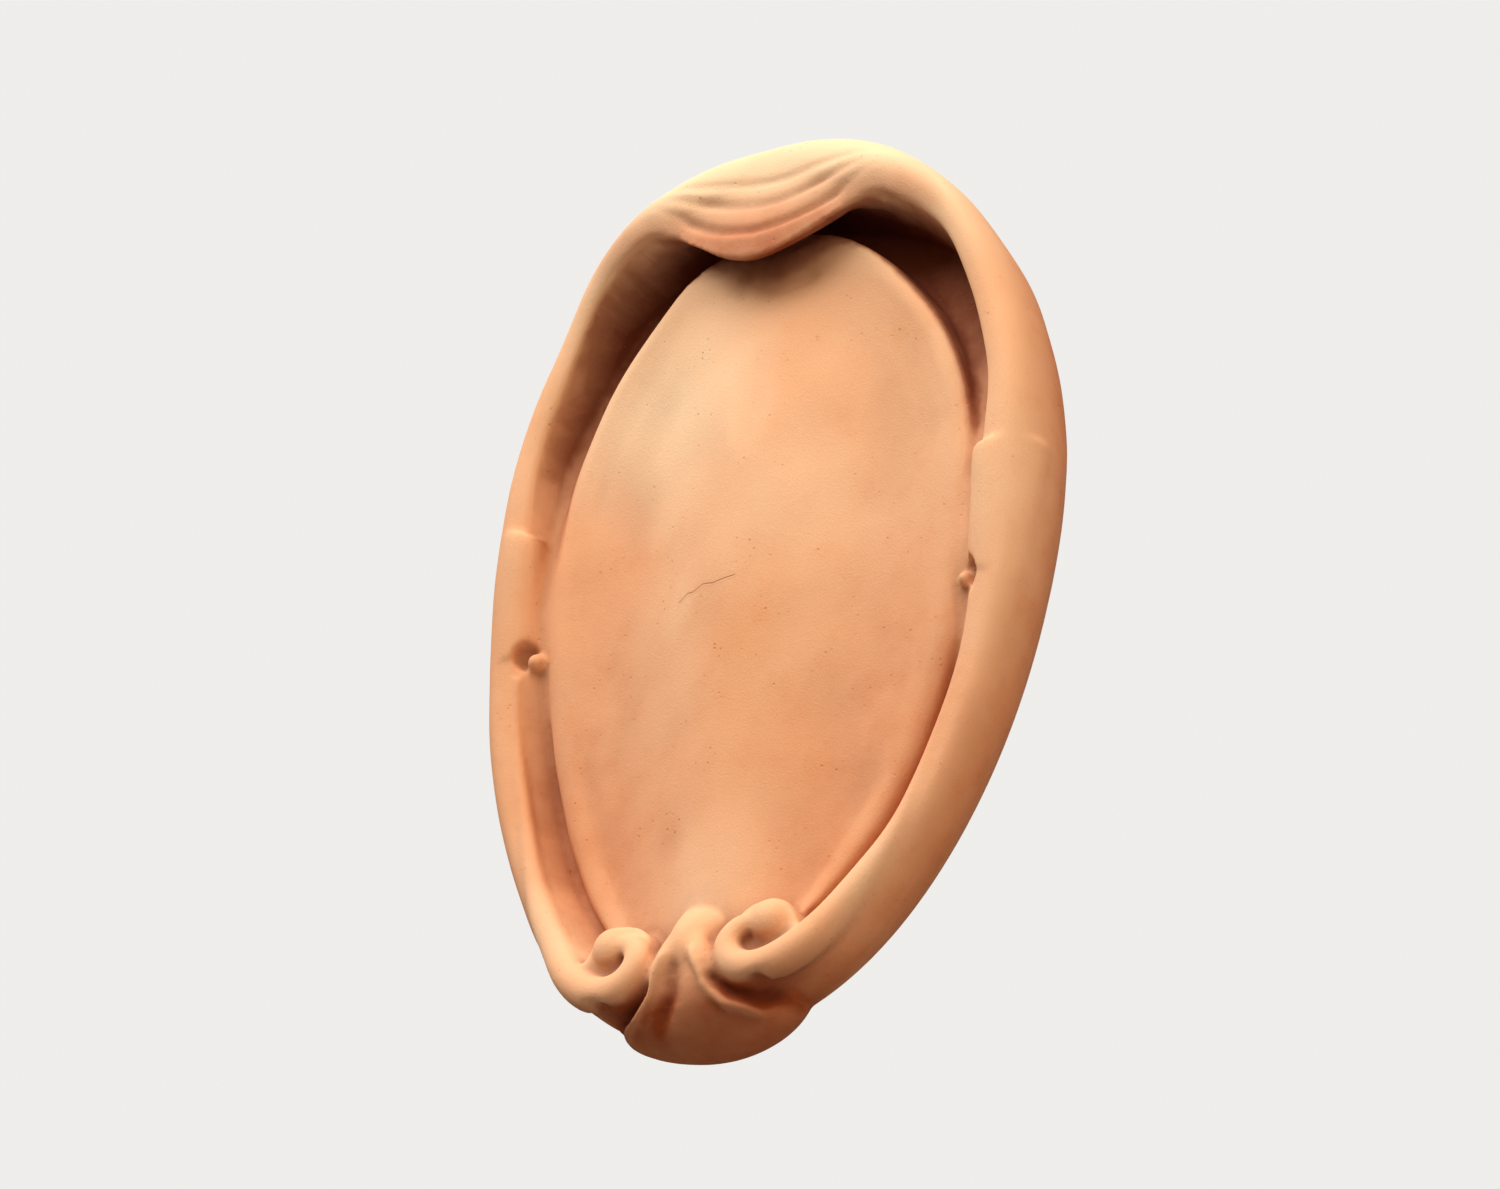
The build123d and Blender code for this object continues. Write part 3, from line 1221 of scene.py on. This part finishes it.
def store_values(piece: bpy.types.Object, name: str, values: np.ndarray) -> None:
    """Keep one number for each point, held between zero and one."""
    layer = piece.data.attributes.new(name, "FLOAT", "POINT")
    layer.data.foreach_set("value", np.clip(values, 0.0, 1.0).astype(np.float32))


def relaxed(rows: np.ndarray, edges: np.ndarray, passes: int) -> np.ndarray:
    """Average each row with its neighbours' rows, over and over.

    Args:
        rows: One row for each point: its place, or another measure.
        edges: Pairs of point numbers.
        passes: How often to average.

    Returns:
        The relaxed rows.
    """
    count = len(rows)
    spokes = np.bincount(edges.ravel(), minlength=count)
    level = rows.copy()
    for _ in range(passes):
        total = np.zeros_like(level)
        for axis in range(level.shape[1]):
            column = level[:, axis]
            total[:, axis] = np.bincount(edges[:, 0], column[edges[:, 1]], count)
            total[:, axis] += np.bincount(edges[:, 1], column[edges[:, 0]], count)
        level = (1 - RELAX_SHARE) * level + RELAX_SHARE * total / spokes[:, None]
    return level


def calmed(
    points: np.ndarray, edges: np.ndarray, passes: int, weights: np.ndarray
) -> np.ndarray:
    """Relax points by their weights.

    Args:
        points: One row for each point.
        edges: Pairs of point numbers.
        passes: How often to average.
        weights: How far each point gives way, from zero to one.

    Returns:
        The moved points.
    """
    return points + (relaxed(points, edges, passes) - points) * weights[:, None]


def smooth_noise(
    places: np.ndarray,
    waves: int = 12,
    shortest: float = 0.6,
    longest: float = 2.2,
    seed: int = 7,
) -> np.ndarray:
    """Gentle noise between about -1 and 1, as a sum of waves in fixed directions.

    Args:
        places: One row for each point, in cells of the noise.
        waves: How many waves are summed.
        shortest: The fewest waves in a cell.
        longest: The most waves in a cell.
        seed: The seed of the waves' directions.

    Returns:
        One value for each point.
    """
    rng = np.random.default_rng(seed)
    total = np.zeros(len(places))
    for _ in range(waves):
        direction = rng.normal(size=3)
        direction *= rng.uniform(shortest, longest) * 2 * math.pi / np.linalg.norm(direction)
        total += np.sin(places @ direction + rng.uniform(0, 2 * math.pi))
    return total / math.sqrt(waves)


@dataclass
class Studio:
    """Pale studio: the street view's angle, soft light from above and a low floor."""

    azimuth: float = 39.93
    elevation: float = -26.77
    roll: float = 9.53
    distance: float = 21.14
    lens: float = 560.0
    clip_end: float = 200.0
    floor_z: float = -10.6
    floor_size: float = 9.0
    floor_roughness: float = 0.9
    backdrop: tuple = (0.86, 0.85, 0.83, 1.0)
    zenith: tuple = (1.0, 0.98, 0.95, 1.0)
    horizon: tuple = (0.5, 0.46, 0.42, 1.0)
    horizon_at: float = 0.58
    ground: tuple = (0.12, 0.085, 0.06, 1.0)
    ground_top: float = 0.4
    sky_strength: float = 0.7
    key_strength: float = 3.15
    key_spread: float = 50.0
    key_from: tuple = (-0.27, -0.62, 0.73)
    key_tint: tuple = (1.0, 0.99, 0.97)
    fill_strength: float = 1.55
    fill_spread: float = 80.0
    fill_from: tuple = (0.84, -0.45, 0.3)
    fill_tint: tuple = (1.0, 0.8, 0.58)

    def build(self, target: Vector) -> None:
        """Set up camera, lamps, sky and floor.

        Args:
            target: The point that the camera looks at.
        """
        self._camera(target)
        self._lamp("soft_key", self.key_strength, self.key_spread, self.key_from, self.key_tint)
        self._lamp("warm_fill", self.fill_strength, self.fill_spread, self.fill_from, self.fill_tint)
        self._world()
        self._floor()
        bpy.context.scene.view_settings.view_transform = "Standard"

    def _camera(self, target: Vector) -> None:
        """Place the camera at the street view's angle and roll.

        Args:
            target: The point that it looks at.
        """
        across, up = math.radians(self.azimuth), math.radians(self.elevation)
        back = Vector(
            (math.sin(across) * math.cos(up), -math.cos(across) * math.cos(up), math.sin(up))
        )
        level = (-back).to_track_quat("-Z", "Y")
        turn = Matrix.Rotation(math.radians(self.roll), 4, back)
        data = bpy.data.cameras.new("street_view")
        data.lens = self.lens
        data.clip_end = self.clip_end
        camera = bpy.data.objects.new("street_view", data)
        bpy.context.collection.objects.link(camera)
        camera.matrix_world = (
            Matrix.Translation(target + back * self.distance) @ turn @ level.to_matrix().to_4x4()
        )
        bpy.context.scene.camera = camera

    def _lamp(
        self, name: str, strength: float, spread: float, source: tuple, tint: tuple
    ) -> None:
        """Add one broad lamp.

        Args:
            name: The lamp's name.
            strength: Its strength.
            spread: How wide it looks from the object, in degrees.
            source: The direction that its light comes from.
            tint: Its colour.
        """
        lamp = bpy.data.lights.new(name, "SUN")
        lamp.energy = strength
        lamp.angle = math.radians(spread)
        lamp.color = tint
        holder = bpy.data.objects.new(name, lamp)
        bpy.context.collection.objects.link(holder)
        holder.rotation_mode = "QUATERNION"
        holder.rotation_quaternion = Vector(source).to_track_quat("Z", "Y")

    def _world(self) -> None:
        """Light from a sky that is bright overhead, and show the camera the plain backdrop."""
        world = bpy.data.worlds.new("studio")
        bpy.context.scene.world = world
        draft = NodeDraft(world)
        direction = draft.node("ShaderNodeTexCoord").outputs["Generated"]
        height = draft.wire(draft.node("ShaderNodeSeparateXYZ", Vector=direction), "Z")
        stops = [
            (0.0, self.ground),
            (self.ground_top, self.ground),
            (self.horizon_at, self.horizon),
            (1.0, self.zenith),
        ]
        dome = draft.node("ShaderNodeValToRGB", {"stops": stops}, Fac=height * 0.5 + 0.5)
        light = draft.node(
            "ShaderNodeBackground", Color=dome.outputs["Color"], Strength=self.sky_strength
        )
        shown = draft.node("ShaderNodeBackground", Color=self.backdrop)
        seen = draft.wire(draft.node("ShaderNodeLightPath"), "Is Camera Ray")
        choice = draft.node("ShaderNodeMixShader", Fac=seen)
        draft.tree.links.new(light.outputs[0], choice.inputs[1])
        draft.tree.links.new(shown.outputs[0], choice.inputs[2])
        draft.node("ShaderNodeOutputWorld", Surface=choice.outputs[0])

    def _floor(self) -> None:
        """Lay the pale floor far below, where the street would be."""
        deselect_all()
        bpy.ops.mesh.primitive_plane_add(size=self.floor_size, location=(0, 0, self.floor_z))
        floor = bpy.context.object
        floor.name = "floor"
        pale = bpy.data.materials.new("pale_floor")
        draft = NodeDraft(pale)
        shader = draft.node(
            "ShaderNodeBsdfPrincipled", Base_Color=self.backdrop, Roughness=self.floor_roughness
        )
        draft.node("ShaderNodeOutputMaterial", Surface=shader.outputs["BSDF"])
        floor.data.materials.append(pale)


def main() -> None:
    """Build the dressed cartouche and its studio."""
    logging.basicConfig(level=logging.INFO)
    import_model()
    deselect_all()
    low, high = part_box("cartouche")
    skin = ClaySkin().build()
    LOG.info("%s: %d faces", skin.name, len(skin.data.polygons))
    Studio().build((Vector(low) + Vector(high)) / 2)


if __name__ == "__main__":
    main()
